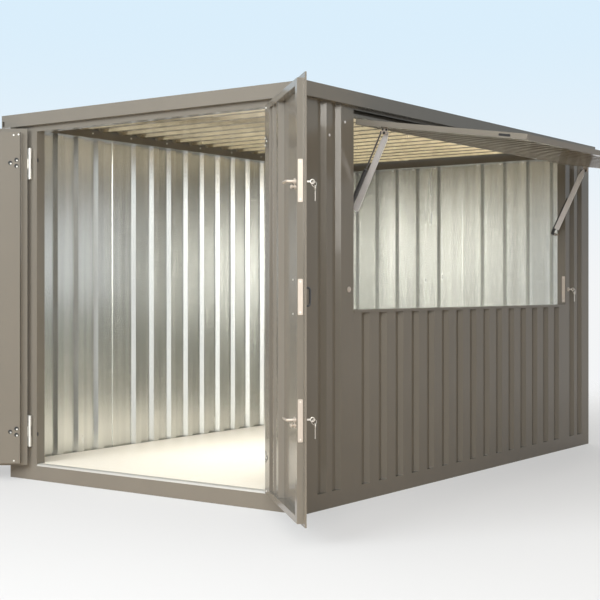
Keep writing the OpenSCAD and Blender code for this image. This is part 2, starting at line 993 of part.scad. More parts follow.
base_front_rail();
base_rear_rail();
base_left_rail();
base_right_rail();
floor_bearers();
floor_board();
threshold();
front_posts();
rear_posts();
door_head();
left_wall_front_panel();
left_wall_middle_panel();
left_wall_rear_panel();
rear_wall_left_panel();
rear_wall_right_panel();
wall_joint_straps();
right_wall_front_panel();
right_wall_rear_panel();
counter_panel();
hatch_jambs();
hatch_lintel();
hatch_sill();
front_fascia();
rear_fascia();
left_fascia();
right_fascia();
roof_sheet();
door_post_hinges();
hatch_hinges();
hatch_locks();
strut_pins();
left_leaf_frame();
left_leaf_skin();
left_leaf_hinges();
right_leaf_frame();
right_leaf_skin();
right_leaf_hinges();
right_leaf_locks();
right_leaf_handle();
flap_frame();
flap_skin();
flap_hinges();
flap_brackets();
front_strut_tube();
front_strut_rod();
rear_strut_tube();
rear_strut_rod();
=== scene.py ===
"""Flat pack kiosk: finishes, fasteners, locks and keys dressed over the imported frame."""
import json
import math

import bmesh
import bpy
from mathutils import Matrix, Vector


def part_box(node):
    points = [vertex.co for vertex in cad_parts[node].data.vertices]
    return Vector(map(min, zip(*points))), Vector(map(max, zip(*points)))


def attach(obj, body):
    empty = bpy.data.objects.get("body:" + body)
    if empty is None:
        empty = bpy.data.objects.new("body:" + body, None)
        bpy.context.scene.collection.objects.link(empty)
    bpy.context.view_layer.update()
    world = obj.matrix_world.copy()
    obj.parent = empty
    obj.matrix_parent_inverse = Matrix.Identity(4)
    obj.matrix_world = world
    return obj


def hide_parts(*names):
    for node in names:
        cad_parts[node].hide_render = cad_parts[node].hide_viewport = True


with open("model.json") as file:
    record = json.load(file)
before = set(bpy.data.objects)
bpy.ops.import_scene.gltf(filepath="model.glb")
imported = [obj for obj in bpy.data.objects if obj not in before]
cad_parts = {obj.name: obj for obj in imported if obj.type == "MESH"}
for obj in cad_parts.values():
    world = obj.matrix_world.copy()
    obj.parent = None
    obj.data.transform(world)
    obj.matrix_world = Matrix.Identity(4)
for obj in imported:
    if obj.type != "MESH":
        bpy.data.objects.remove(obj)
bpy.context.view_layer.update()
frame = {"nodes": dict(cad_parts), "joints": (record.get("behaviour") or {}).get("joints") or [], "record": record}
record = frame["record"]
joints = {joint["child"]: joint for joint in frame["joints"]}

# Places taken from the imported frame, in metres
WALL_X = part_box("counter_panel")[1].x
FRONT_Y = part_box("base_front_rail")[0].y
REAR_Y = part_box("base_rear_rail")[1].y
WALL_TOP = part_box("rear_posts")[1].z
HATCH_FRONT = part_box("counter_panel")[0].y
HATCH_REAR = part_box("counter_panel")[1].y
GUTTER_IN = 0.065
RIB_DEPTH = 0.028
SHEET_T = 0.002
REAR_PITCH = 0.190
SIDE_PITCH = 0.174
JAMB_X = 0.846

# Directions on a leaf or a wall as it is drawn, with y inwards
UP = (0, 0, 1)
INWARD = (0, 1, 0)
OUT = (0, -1, 0)

# Fasteners of the shell
REAR_RIVETS = 5
REAR_RIVET_DROP = 0.012
BAND_RIVETS = 9
BAND_RIVET_START = -1.152
BAND_RIVET_RISE = 0.030
WALL_BOLT_YZS = ((-1.396, 1.988), (-1.538, 1.9065))
KEEPER_ZS = (0.270, 1.875)
KEEPER_INSET = 0.006
KEEPER_SHAPE = (0.010, 0.022, 0.003)
KEEPER_T = 0.0030

# A leaf drawn closed: x from the doorway's middle, y inwards from the wall face
LEAF_EDGE = 0.004
LEAF_INNER = 0.025
LEAF_OUTER = -0.013
LEAF_MIDDLE = 0.010
LOCK_X = 0.049
LOCK_ZS = (0.549, 1.086, 1.591)
LOCK_PLATE_HS = (0.187, 0.157, 0.187)
PLATE_W = 0.022
PLATE_T = 0.002
PULL_H = 0.090
PULL_OUT = 0.034
PULL_R = 0.005
PULL_BEND = 0.012
HINGE_ZS = (0.287, 1.856)
# From the hinge line and from the hinge's middle height
HINGE_HOLES = ((0.106, 0.0), (0.070, 0.018), (0.070, -0.018))
BOLT_SHIFT = (0.003, -0.004)
# From the hinge line and from the ground
CORNER_RIVETS = ((0.058, 2.022), (0.086, 2.018), (0.085, 0.118))
LOCK_RIVET_SETBACK = 0.045
LOCK_RIVET_RISE = 0.075

# The flap drawn closed on the right wall
FLAP_T = 0.028
FLAP_SIDE_GAP = 0.008
HATCH_LOCK_Z = 1.118
HATCH_PLATE_H = 0.182
HATCH_SETBACK = 0.045
FLAP_SLOT_Z = 1.140
FLAP_SLOT_SHAPE = (0.012, 0.064, 0.004)
FLAP_SLOT_T = 0.0008
FLAP_RIVET_YZS = ((-0.066, 1.368), (0.145, 1.307))

# Gas struts
STRUT_LENGTH = 0.48344
EAR_FACE = 0.0095
EAR_BOLT_RISE = 0.017
EAR_BOLT_REACH = 0.011
STAY_FROM_ROD = 0.010
ROD_EYE_HALF = 0.006


# Node graphs

class Wire:
    """A node's output. Arithmetic on it adds Math nodes to its graph."""

    def __init__(self, graph, socket):
        self.graph = graph
        self.socket = socket

    def _math(self, operation, first, second):
        return self.graph.node("ShaderNodeMath", {"operation": operation}, {0: first, 1: second})

    def __add__(self, other):
        return self._math("ADD", self, other)

    __radd__ = __add__

    def __sub__(self, other):
        return self._math("SUBTRACT", self, other)

    def __rsub__(self, other):
        return self._math("SUBTRACT", other, self)

    def __mul__(self, other):
        return self._math("MULTIPLY", self, other)

    __rmul__ = __mul__


class Graph:
    """A node tree, grown one node at a time."""

    def __init__(self, tree):
        self.tree = tree

    def node(self, kind, settings=None, sockets=None, output=0):
        made = self.tree.nodes.new(kind)
        for key, value in (settings or {}).items():
            setattr(made, key, value)
        for key, value in (sockets or {}).items():
            if isinstance(value, Wire):
                self.tree.links.new(value.socket, made.inputs[key])
            else:
                made.inputs[key].default_value = value
        return Wire(self, made.outputs[output]) if len(made.outputs) else None

    def mix(self, factor, first, second):
        """Colour between two colours."""
        return self.node("ShaderNodeMix", {"data_type": "RGBA"}, {0: factor, 6: first, 7: second}, 2)

    def step(self, value, low, high):
        """0 below low and 1 above high, smooth between."""
        return self.node("ShaderNodeMapRange", {"interpolation_type": "SMOOTHSTEP"},
                         {"Value": value, "From Min": low, "From Max": high})

    def along(self, vector, direction):
        """Length of a vector along a direction."""
        return self.node("ShaderNodeVectorMath", {"operation": "DOT_PRODUCT"},
                         {0: vector, 1: direction}, "Value")


class Finish(Graph):
    """A material with one Principled shader."""

    def __init__(self, name):
        self.material = bpy.data.materials.new(name)
        self.material.use_nodes = True
        super().__init__(self.material.node_tree)
        self.tree.nodes.clear()
        self.where = self.node("ShaderNodeTexCoord", output="Object")
        self.facing = self.node("ShaderNodeTexCoord", output="Normal")

    def noise(self, scale, detail=3.0, stretch=(1.0, 1.0, 1.0), rough=0.55):
        place = self.node("ShaderNodeMapping", {}, {"Vector": self.where, "Scale": stretch})
        return self.node("ShaderNodeTexNoise", {}, {"Vector": place, "Scale": scale, "Detail": detail,
                                                    "Roughness": rough}, "Fac")

    def flakes(self, scale):
        """One random level for each cell."""
        cells = self.node("ShaderNodeTexVoronoi", {"feature": "F1"},
                          {"Vector": self.where, "Scale": scale}, "Color")
        return self.node("ShaderNodeSeparateColor", {}, {0: cells}, 0)

    def height(self):
        return self.node("ShaderNodeSeparateXYZ", {}, {0: self.where}, "Z")

    def close(self, colour, roughness, metallic, bump, strength, distance, extra=None):
        """Ends the material in its shader. strength and distance belong to the bump."""
        normal = self.node("ShaderNodeBump", {},
                           {"Strength": strength, "Distance": distance, "Height": bump}, "Normal")
        sockets = {"Base Color": colour, "Roughness": roughness, "Metallic": metallic, "Normal": normal}
        sockets.update(extra or {})
        self.surface(self.node("ShaderNodeBsdfPrincipled", {}, sockets))
        return self.material

    def surface(self, shader):
        self.node("ShaderNodeOutputMaterial", {}, {"Surface": shader})


# Finishes

PAINT_TONE = (0.155, 0.143, 0.123)
DUST_TONE = (0.36, 0.33, 0.28)
DUST_TOP = 0.30
ZINC_TONE = (0.745, 0.75, 0.715)
# Room side of the roof: zinc tone warmed as a painted reflection of the floor, and painted shade multiplied onto
# its flats
ROOF_ZINC_AND_REFLECTION_TONE = (0.90, 0.80, 0.60)
ROOF_FLAT_SHADE = (0.56, 0.51, 0.44, 1)
STAY_TONE = (0.62, 0.60, 0.60)
ROD_TONE = (0.085, 0.08, 0.08)
CHIP_TONES = ((0.88, 0.83, 0.71, 1), (0.95, 0.91, 0.82, 1))
WALKED_TONE = (0.82, 0.76, 0.63, 1)
COAT_WEIGHT = 0.16
COAT_ROUGH = 0.05
PAINT_GLOSS = 0.17
ZINC_METAL = 0.92
ROOF_METAL = 0.85
# Strength and distance of a bump
PAINT_BUMP = (0.25, 0.002)
ZINC_BUMP = (0.2, 0.002)
BOARD_BUMP = (0.08, 0.0005)
GRAIN_BUMP = (0.06, 0.0004)
PEEL_BUMP = (0.08, 0.0004)
# Noise stretched into upright streaks
STREAKS = (1.0, 1.0, 0.02)
GRAIN = (1.0, 1.0, 0.08)


def shade(tone, level):
    """Tone made darker or lighter, as a colour with alpha."""
    return [min(1.0, level * c) for c in tone] + [1.0]


def paint_coat(finish, tone):
    """Colour, roughness and bump of the sprayed coat: faint clouds, run marks, dust near the ground."""
    cloud = finish.noise(1.6, 3.0)
    runs = finish.noise(9.0, 2.0, (1.0, 1.0, 0.06))
    dust = (1 - finish.step(finish.height(), 0.0, DUST_TOP)) * finish.noise(4.0, 2.0)
    dusty = [0.75 * c + 0.25 * d for c, d in zip(tone, DUST_TONE)] + [1.0]
    colour = finish.mix(0.65 * cloud + 0.35 * runs, shade(tone, 0.91), shade(tone, 1.08))
    colour = finish.mix(0.22 * dust, colour, dusty)
    rough = 0.13 + 0.08 * cloud + 0.10 * dust
    bump = 0.8 * finish.noise(3.2, 1.0) + 0.05 * finish.noise(420.0, 1.0)
    return colour, rough, bump


def zinc_coat(finish, tone):
    """Colour, roughness and bump of galvanised sheet: cloudy tarnish, rolling streaks, fine drawn lines."""
    cloud = finish.noise(2.3, 1.0)
    roll = finish.noise(14.0, 1.0, STREAKS)
    lines = finish.noise(75.0, 1.0, STREAKS)
    bands = finish.step(roll, 0.36, 0.64)
    colour = finish.mix(0.30 * cloud + 0.44 * bands + 0.26 * lines, shade(tone, 0.82), shade(tone, 1.08))
    rough = 0.20 + 0.06 * cloud + 0.05 * roll
    bump = 2.0 * finish.noise(2.6, 1.0, (1.0, 1.0, 0.35)) + 1.6 * roll
    return colour, rough, bump


def painted_steel():
    finish = Finish("painted_steel")
    colour, rough, bump = paint_coat(finish, PAINT_TONE)
    return finish.close(colour, rough, 0.0, bump, *PAINT_BUMP,
                        {"Coat Weight": COAT_WEIGHT, "Coat Roughness": COAT_ROUGH,
                         "Specular IOR Level": PAINT_GLOSS})


def wall_sheet(side, outward):
    """Painted on the outer face of the sheet, bare zinc on the inner face."""
    finish = Finish("wall_sheet_" + side)
    inner = 1 - finish.step(finish.along(finish.facing, outward), -0.12, -0.08)
    paint, paint_rough, paint_bump = paint_coat(finish, PAINT_TONE)
    zinc, zinc_rough, zinc_bump = zinc_coat(finish, ZINC_TONE)
    colour = finish.mix(inner, paint, zinc)
    rough = paint_rough + inner * (zinc_rough - paint_rough)
    bump = paint_bump + inner * (zinc_bump - paint_bump)
    return finish.close(colour, rough, ZINC_METAL * inner, bump, *PAINT_BUMP,
                        {"Coat Weight": COAT_WEIGHT - COAT_WEIGHT * inner, "Coat Roughness": COAT_ROUGH,
                         "Specular IOR Level": PAINT_GLOSS})


def bare_zinc():
    finish = Finish("bare_zinc")
    colour, rough, bump = zinc_coat(finish, ZINC_TONE)
    return finish.close(colour, rough, ZINC_METAL, bump, *ZINC_BUMP)


def roof_sheet():
    """Plain zinc on the weather side; to the room, zinc warmed by a painted reflection of the floor, with its
    downward flats darkened by painted shade.
    """
    finish = Finish("roof_zinc")
    upward = finish.along(finish.facing, (0.0, 0.0, 1.0))
    weather = finish.step(upward, -0.10, 0.10)
    # Painted shade: the downward-facing flats of the room side are multiplied darker than the rib flanks
    flat = finish.step(-1 * upward, 0.80, 0.97)
    # Room side: zinc carrying a painted warm reflection of the floor; the weather side below takes plain zinc
    under, rough, bump = zinc_coat(finish, ROOF_ZINC_AND_REFLECTION_TONE)
    under = finish.node("ShaderNodeMix", {"data_type": "RGBA", "blend_type": "MULTIPLY"},
                        {0: flat, 6: under, 7: ROOF_FLAT_SHADE}, 2)
    over, _, _ = zinc_coat(finish, ZINC_TONE)
    colour = finish.mix(weather, under, over)
    return finish.close(colour, rough + 0.14 * weather, ROOF_METAL, bump, *ZINC_BUMP)


def chip_board():
    """Pale floor board: fine chips and faint walked-on patches."""
    finish = Finish("chip_board")
    chips = finish.flakes(160.0)
    patch = finish.noise(1.8, 4.0)
    grain = finish.noise(70.0, 3.0, (1.0, 0.3, 1.0))
    colour = finish.mix(0.5 * chips + 0.5 * grain, *CHIP_TONES)
    colour = finish.mix(0.25 * finish.step(patch, 0.45, 0.75), colour, WALKED_TONE)
    return finish.close(colour, 0.38 + 0.15 * patch, 0.0, chips + grain, *BOARD_BUMP)


def brushed_coat(finish, tone):
    """Grain, dull patches and colour of brushed metal."""
    grain = finish.noise(240.0, 2.0, GRAIN)
    dull = finish.noise(38.0, 3.0)
    colour = finish.mix(0.6 * grain + 0.4 * dull, shade(tone, 0.86), shade(tone, 1.10))
    return grain, dull, colour


def worked_metal(name, tone, rough, metallic):
    """Fittings: brushed grain with rubbed and dulled patches."""
    finish = Finish(name)
    grain, dull, colour = brushed_coat(finish, tone)
    return finish.close(colour, rough + 0.10 * dull + 0.05 * grain, metallic, grain, *GRAIN_BUMP)


def strut_steel():
    """Grey flat stay and dark rod of a strut, told apart by their distance from the flap's middle."""
    finish = Finish("strut_steel")
    front, rear = (joints[end + "_strut"]["pos_m"][1] for end in ("front", "rear"))
    middle, reach = (front + rear) / 2, (rear - front) / 2
    across = finish.along(finish.where, (0.0, 1.0, 0.0))
    apart = finish.node("ShaderNodeMath", {"operation": "ABSOLUTE"}, {0: across - middle})
    stay = 1 - finish.step(apart, reach - STAY_FROM_ROD, reach - ROD_EYE_HALF)
    grain, dull, grey = brushed_coat(finish, STAY_TONE)
    dark = finish.mix(dull, shade(ROD_TONE, 0.8), shade(ROD_TONE, 1.2))
    rough = 0.24 + 0.12 * stay + 0.10 * dull + 0.05 * grain
    return finish.close(finish.mix(stay, dark, grey), rough, 0.45, grain, *GRAIN_BUMP)


def black_coat(name, tone, rough):
    """Dark paint with a fine orange-peel surface, dulled in patches; the same near-black surface also stands as
    painted shade inside holes and slots.
    """
    finish = Finish(name)
    peel = finish.noise(320.0, 2.0)
    wear = finish.noise(16.0, 4.0)
    colour = finish.mix(wear, shade(tone, 0.7), shade(tone, 1.5))
    return finish.close(colour, rough + 0.12 * wear, 0.0, peel, *PEEL_BUMP)


PAINT = painted_steel()
ZINC = bare_zinc()
ROOF_ZINC = roof_sheet()
HINGE_ZINC = worked_metal("hinge_zinc", (0.82, 0.81, 0.77), 0.34, 0.7)
LOCK_STEEL = worked_metal("lock_steel", (0.52, 0.455, 0.395), 0.38, 0.6)
KEY_STEEL = worked_metal("key_steel", (0.70, 0.65, 0.59), 0.34, 0.8)
SILL_STEEL = worked_metal("sill_steel", (0.60, 0.585, 0.55), 0.42, 0.5)
STAY_STEEL = worked_metal("stay_steel", STAY_TONE, 0.36, 0.45)
STRUT_STEEL = strut_steel()
BLACK = black_coat("black_coat", (0.022, 0.022, 0.023), 0.32)
# Painted shade: near-black surface that stands for the dark inside of holes and slots
OPENING_SHADE = black_coat("hole_dark", (0.012, 0.012, 0.012), 0.6)
BOARD = chip_board()
OUTWARD = {"left": (-1.0, 0.0, 0.0), "rear": (0.0, 1.0, 0.0), "right": (1.0, 0.0, 0.0)}
SHEET = {side: wall_sheet(side, out) for side, out in OUTWARD.items()}


def dress(material, *names):
    """Gives CAD nodes a finish."""
    for name in names:
        slots = frame["nodes"][name].data.materials
        slots.clear()
        slots.append(material)


dress(PAINT, *[row["node"] for row in record["subparts"] if row["material_slot"] == "grey_paint"])
dress(PAINT, "hatch_hinges", "flap_hinges")
dress(SHEET["left"], "left_wall_front_panel", "left_wall_middle_panel", "left_wall_rear_panel")
dress(SHEET["rear"], "rear_wall_left_panel", "rear_wall_right_panel")
dress(SHEET["right"], "right_wall_front_panel", "right_wall_rear_panel", "counter_panel")
dress(ZINC, "floor_bearers", "wall_joint_straps")
dress(SILL_STEEL, "threshold")
dress(ROOF_ZINC, "roof_sheet")
dress(HINGE_ZINC, "door_post_hinges", "left_leaf_hinges", "right_leaf_hinges")
dress(BOARD, "floor_board")
dress(LOCK_STEEL, "right_leaf_locks", "hatch_locks", "flap_brackets", "strut_pins")
dress(STRUT_STEEL, "front_strut_rod", "rear_strut_rod")
dress(BLACK, "right_leaf_handle", "front_strut_tube", "rear_strut_tube")


# Places on moving pieces

def leaf_place(body):
    """From a closed right-hand leaf to the open leaf of this body."""
    hinge = Vector(joints[body]["pos_m"])
    hand = 1 if hinge.x > 0 else -1
    swing = math.radians(-joints[body]["range_deg"][0])
    pivot = Vector((abs(hinge.x), hinge.y, 0))
    turn = Matrix.Translation(pivot) @ Matrix.Rotation(swing, 4, "Z") @ Matrix.Translation(-pivot)
    flip = Matrix.Scale(hand, 4, (1, 0, 0))
    return flip @ turn @ Matrix.Translation((0, FRONT_Y, 0))


def wall_place():
    """From the right wall drawn with x along it and y inwards."""
    return Matrix.Translation((WALL_X, 0, 0)) @ Matrix.Rotation(math.radians(90), 4, "Z")


def flap_place():
    """From the closed flap to the open flap."""
    axis = Vector(joints["hatch"]["pos_m"])
    swing = math.radians(joints["hatch"]["range_deg"][0])
    pivot = Vector((0, WALL_X - axis.x, axis.z))
    turn = Matrix.Translation(pivot) @ Matrix.Rotation(swing, 4, "X") @ Matrix.Translation(-pivot)
    return wall_place() @ turn


def facing_place(origin, outward, up):
    """Local z along outward, local y along up."""
    z = Vector(outward).normalized()
    x = Vector(up).cross(z).normalized()
    y = z.cross(x)
    turn = Matrix((x, y, z)).transposed().to_4x4()
    return Matrix.Translation(origin) @ turn


# Piece making

def add_piece(name, mesh, material, body):
    piece = bpy.data.objects.new(name, mesh)
    bpy.context.scene.collection.objects.link(piece)
    if material is not None:
        mesh.materials.clear()
        mesh.materials.append(material)
    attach(piece, body)
    return piece


def mesh_of(name, bm, place, smooth_angle=35.0):
    """Closes a bmesh into a mesh at its place, faces outwards and sharp edges kept."""
    bmesh.ops.remove_doubles(bm, verts=bm.verts, dist=1e-6)
    bmesh.ops.transform(bm, matrix=place, verts=bm.verts)
    bmesh.ops.recalc_face_normals(bm, faces=bm.faces)
    limit = math.radians(smooth_angle)
    for face in bm.faces:
        face.smooth = True
    for edge in bm.edges:
        edge.smooth = len(edge.link_faces) == 2 and edge.calc_face_angle() < limit
    mesh = bpy.data.meshes.new(name)
    bm.to_mesh(mesh)
    bm.free()
    return mesh


def add_band(bm, low, high):
    """Faces between two rings of as many points."""
    count = len(low)
    for i in range(count):
        j = (i + 1) % count
        bm.faces.new((low[i], low[j], high[j], high[i]))


def add_turned(bm, profile, place, segments=24):
    """Turned solid from (radius, height) pairs along local z, flat at both ends."""
    rings = []
    for radius, height in profile:
        rings.append([bm.verts.new(place @ Vector((radius * math.cos(a), radius * math.sin(a), height)))
                      for a in (2 * math.pi * i / segments for i in range(segments))])
    for low, high in zip(rings, rings[1:]):
        add_band(bm, low, high)
    bm.faces.new(rings[0][::-1])
    bm.faces.new(rings[-1])


def add_rod(bm, points, radii, segments=12, closed=False, flatten=1.0):
    """Round bar along points, with one radius for each. flatten squeezes it on one side."""
    points = [Vector(point) for point in points]
    count = len(points)
    rings = []
    normal = None
    for i, point in enumerate(points):
        before = points[(i - 1) % count] if closed or i > 0 else point
        after = points[(i + 1) % count] if closed or i < count - 1 else point
        path = (after - before).normalized()
        if normal is None:
            normal = path.orthogonal().normalized()
        normal = (normal - path * normal.dot(path)).normalized()
        other = path.cross(normal)
        rings.append([bm.verts.new(point + radii[i] * (normal * math.cos(a) + flatten * other * math.sin(a)))
                      for a in (2 * math.pi * k / segments for k in range(segments))])
    for low, high in zip(rings, rings[1:]):
        add_band(bm, low, high)
    if closed:
        add_band(bm, rings[-1], rings[0])
    else:
        bm.faces.new(rings[0][::-1])
        bm.faces.new(rings[-1])


def add_ring(bm, middle, across, up, radius, thickness):
    """Closed ring of round wire in the plane of across and up."""
    steps = 20
    across, up = Vector(across), Vector(up)
    points = [Vector(middle) + radius * (across * math.cos(a) + up * math.sin(a))
              for a in (2 * math.pi * i / steps for i in range(steps))]
    add_rod(bm, points, [thickness] * steps, 8, True)


def add_plate(bm, outline, depth, place, edge):
    """Plate from an outline in local x and y, thick along z, with a chamfered front edge."""
    def ring(z, inset):
        made = []
        for x, y in outline:
            arm = Vector((x, y))
            arm -= arm.normalized() * inset
            made.append(bm.verts.new(place @ Vector((arm.x, arm.y, z))))
        return made
    rings = [ring(0.0, 0.0), ring(depth - edge, 0.0), ring(depth, edge)]
    for low, high in zip(rings, rings[1:]):
        add_band(bm, low, high)
    bm.faces.new(rings[0][::-1])
    bm.faces.new(rings[-1])


def rounded_outline(width, height, radius, steps=4):
    corners = ((1, 1, 0), (-1, 1, 90), (-1, -1, 180), (1, -1, 270))
    points = []
    for sx, sy, start in corners:
        for k in range(steps + 1):
            angle = math.radians(start + 90 * k / steps)
            points.append((sx * (width / 2 - radius) + radius * math.cos(angle),
                           sy * (height / 2 - radius) + radius * math.sin(angle)))
    return points


# Rows of fasteners

FASTENER_SIZES = ("Washer radius", "Washer depth", "Head radius", "Head depth", "Dome height", "Head sides")


def fastener_tree():
    """Heads on points: a washer, a head with a chosen number of sides and a dome on top."""
    tree = bpy.data.node_groups.new("fastener_row", "GeometryNodeTree")
    tree.interface.new_socket("Points", in_out="INPUT", socket_type="NodeSocketGeometry")
    for name in FASTENER_SIZES:
        kind = "NodeSocketInt" if name == "Head sides" else "NodeSocketFloat"
        tree.interface.new_socket(name, in_out="INPUT", socket_type=kind)
    tree.interface.new_socket("Finish", in_out="INPUT", socket_type="NodeSocketMaterial")
    tree.interface.new_socket("Row", in_out="OUTPUT", socket_type="NodeSocketGeometry")
    graph = Graph(tree)
    group = tree.nodes.new("NodeGroupInput")
    given = {socket.name: Wire(graph, socket) for socket in group.outputs if socket.name}
    washer = graph.node("GeometryNodeMeshCylinder", {}, {"Vertices": 16, "Radius": given["Washer radius"],
                                                         "Depth": 2 * given["Washer depth"]})
    head = graph.node("GeometryNodeMeshCylinder", {}, {"Vertices": given["Head sides"],
                                                       "Radius": given["Head radius"],
                                                       "Depth": 2 * given["Head depth"]})
    ball = graph.node("GeometryNodeMeshUVSphere", {}, {"Segments": 12, "Rings": 8, "Radius": 1.0})
    wide = 0.92 * given["Head radius"]
    size = graph.node("ShaderNodeCombineXYZ", {}, {"X": wide, "Y": wide, "Z": given["Dome height"]})
    rise = graph.node("ShaderNodeCombineXYZ", {}, {"Z": given["Head depth"]})
    dome = graph.node("GeometryNodeTransform", {}, {"Geometry": ball, "Translation": rise, "Scale": size})
    join = tree.nodes.new("GeometryNodeJoinGeometry")
    for part in (washer, head, dome):
        tree.links.new(part.socket, join.inputs[0])
    facing = graph.node("GeometryNodeInputNamedAttribute", {"data_type": "FLOAT_VECTOR"}, {"Name": "facing"})
    turn = graph.node("FunctionNodeAlignRotationToVector", {"axis": "Z"}, {"Vector": facing})
    heads = graph.node("GeometryNodeInstanceOnPoints", {}, {"Points": given["Points"], "Rotation": turn,
                                                            "Instance": Wire(graph, join.outputs[0])})
    real = graph.node("GeometryNodeRealizeInstances", {}, {"Geometry": heads})
    finished = graph.node("GeometryNodeSetMaterial", {}, {"Geometry": real, "Material": given["Finish"]})
    graph.node("NodeGroupOutput", {}, {0: finished})
    return tree


FASTENER = fastener_tree()
# Washer radius and depth, head radius and depth, dome height, sides
RIVET = (0.0046, 0.0006, 0.0040, 0.0008, 0.0012, 12)
BOLT = (0.0072, 0.0010, 0.0054, 0.0026, 0.0014, 6)
DARK_BOLT = (0.0062, 0.0008, 0.0048, 0.0022, 0.0008, 6)
PIVOT_CAP = (0.0080, 0.0012, 0.0068, 0.0030, 0.0010, 16)
# HOLE_RING: a thin flat disk, painted shade standing for the dark inside of a hole
HOLE_RING = (0.0122, 0.0006, 0.0112, 0.0008, 0.0003, 20)
BOLT_END = (0.0050, 0.0014, 0.0042, 0.0026, 0.0020, 12)
PLATE_SCREW = (0.0040, 0.0003, 0.0034, 0.0006, 0.0006, 12)


def fasteners(name, spots, sizes, material, body):
    """One mesh of heads at (point, outward) spots."""
    points = bpy.data.meshes.new(name + "_points")
    points.from_pydata([tuple(point) for point, _ in spots], [], [])
    facing = points.attributes.new("facing", "FLOAT_VECTOR", "POINT")
    for i, (_, outward) in enumerate(spots):
        facing.data[i].vector = outward
    holder = bpy.data.objects.new(name + "_points", points)
    bpy.context.scene.collection.objects.link(holder)
    modifier = holder.modifiers.new("row", "NODES")
    modifier.node_group = FASTENER
    keys = {item.name: item.identifier for item in FASTENER.interface.items_tree if item.in_out == "INPUT"}
    for key, value in zip(FASTENER_SIZES, sizes):
        modifier[keys[key]] = value
    modifier[keys["Finish"]] = material
    graph = bpy.context.evaluated_depsgraph_get()
    mesh = bpy.data.meshes.new_from_object(holder.evaluated_get(graph))
    mesh.name = name
    bpy.data.objects.remove(holder)
    return add_piece(name, mesh, None, body)


def moved(place, spots):
    """Spots carried from a drawing place to the row frame."""
    turn = place.to_3x3()
    return [(place @ Vector(point), (turn @ Vector(outward)).normalized()) for point, outward in spots]


# Rivets along the inner edge of the gutters, at the wall ribs
rear_face = REAR_Y - RIB_DEPTH
rear_rivets = [((hand * i * REAR_PITCH, rear_face, WALL_TOP - REAR_RIVET_DROP), (0, -1, 0))
               for hand in (-1, 1) for i in range(1, REAR_RIVETS + 1)]
band_x = -WALL_X + GUTTER_IN
band_rivets = [((band_x, BAND_RIVET_START + i * 2 * SIDE_PITCH, WALL_TOP + BAND_RIVET_RISE), (1, 0, 0))
               for i in range(BAND_RIVETS)]
fasteners("gutter_rivets", rear_rivets + band_rivets, RIVET, HINGE_ZINC, "shell")
wall_bolts = [((WALL_X, y, z), (1, 0, 0)) for y, z in WALL_BOLT_YZS]
fasteners("wall_bolts", wall_bolts, BOLT, STAY_STEEL, "shell")

# Hinge bolts through the leaf stiles
for body in ("left_door", "right_door"):
    side = body.split("_")[0]
    hinge_x = abs(joints[body]["pos_m"][0])
    holes = [((hinge_x - setback, LEAF_INNER, z + rise), INWARD)
             for z in HINGE_ZS for setback, rise in HINGE_HOLES]
    ends = [((x + BOLT_SHIFT[0], y, z + BOLT_SHIFT[1]), out) for (x, y, z), out in holes]
    corners = [((hinge_x - setback, LEAF_INNER, z), INWARD) for setback, z in CORNER_RIVETS]
    if side == "right":
        corners += [((LOCK_X + LOCK_RIVET_SETBACK, LEAF_INNER, LOCK_ZS[1] + s * LOCK_RIVET_RISE), INWARD)
                    for s in (-1, 1)]
    place = leaf_place(body)
    # Thin dark disks at the hole spots: painted shade standing for the dark inside of the holes
    fasteners(side + "_leaf_holes", moved(place, holes), HOLE_RING, OPENING_SHADE, body)
    fasteners(side + "_leaf_bolts", moved(place, ends), BOLT_END, HINGE_ZINC, body)
    fasteners(side + "_leaf_rivets", moved(place, corners), RIVET, HINGE_ZINC, body)

# Flap: rivets on its underside, bolts and pivot caps on the ears
flap_rivets = [((y, SHEET_T, z), INWARD) for y, z in FLAP_RIVET_YZS]
fasteners("flap_rivets", moved(flap_place(), flap_rivets), RIVET, HINGE_ZINC, "hatch")
flap_up = flap_place().to_3x3() @ Vector((0, -1, 0))
flap_out = flap_place().to_3x3() @ Vector((0, 0, -1))
ear_bolts, ear_caps = [], []
for end, hand in (("front", -1), ("rear", 1)):
    low = Vector(joints[end + "_strut"]["pos_m"])
    tip = low + STRUT_LENGTH * Vector(joints[end + "_rod"]["axis"])
    face = tip + Vector((0, hand * EAR_FACE, 0))
    ear_caps.append((face, (0, hand, 0)))
    ear_bolts += [(face + EAR_BOLT_RISE * flap_up + s * EAR_BOLT_REACH * flap_out, (0, hand, 0))
                  for s in (-1, 1)]
fasteners("ear_bolts", ear_bolts, DARK_BOLT, BLACK, "hatch")
fasteners("ear_caps", ear_caps, PIVOT_CAP, BLACK, "hatch")


# Locks

# Turned shapes as (radius, height) pairs
ROSE = ((0.0135, 0.0), (0.0135, 0.0035), (0.0115, 0.0052), (0.0066, 0.0058), (0.0062, 0.0350),
        (0.0050, 0.0370))
TURN_KNOB = ((0.0105, 0.0), (0.0105, 0.0026), (0.0082, 0.0040), (0.0048, 0.0045), (0.0048, 0.0090),
             (0.0084, 0.0120), (0.0092, 0.0165), (0.0070, 0.0205), (0.0036, 0.0215))
BARREL = ((0.0165, 0.0), (0.0165, 0.0030), (0.0140, 0.0050), (0.0115, 0.0055), (0.0115, 0.0100),
          (0.0100, 0.0115))
HATCH_BARREL = ((0.0150, 0.0), (0.0150, 0.0026), (0.0132, 0.0040), (0.0098, 0.0044), (0.0098, 0.0072),
                (0.0086, 0.0080))
PULL_FOOT = ((0.0095, 0.0), (0.0095, 0.0020), (0.0075, 0.0035))
TURN_DROP = 0.0245
LEVER_REACH = (0.0, 0.010, 0.026, 0.056, 0.080, 0.090)
LEVER_RISE = (0.034, 0.0375, 0.038, 0.038, 0.0372, 0.0365)
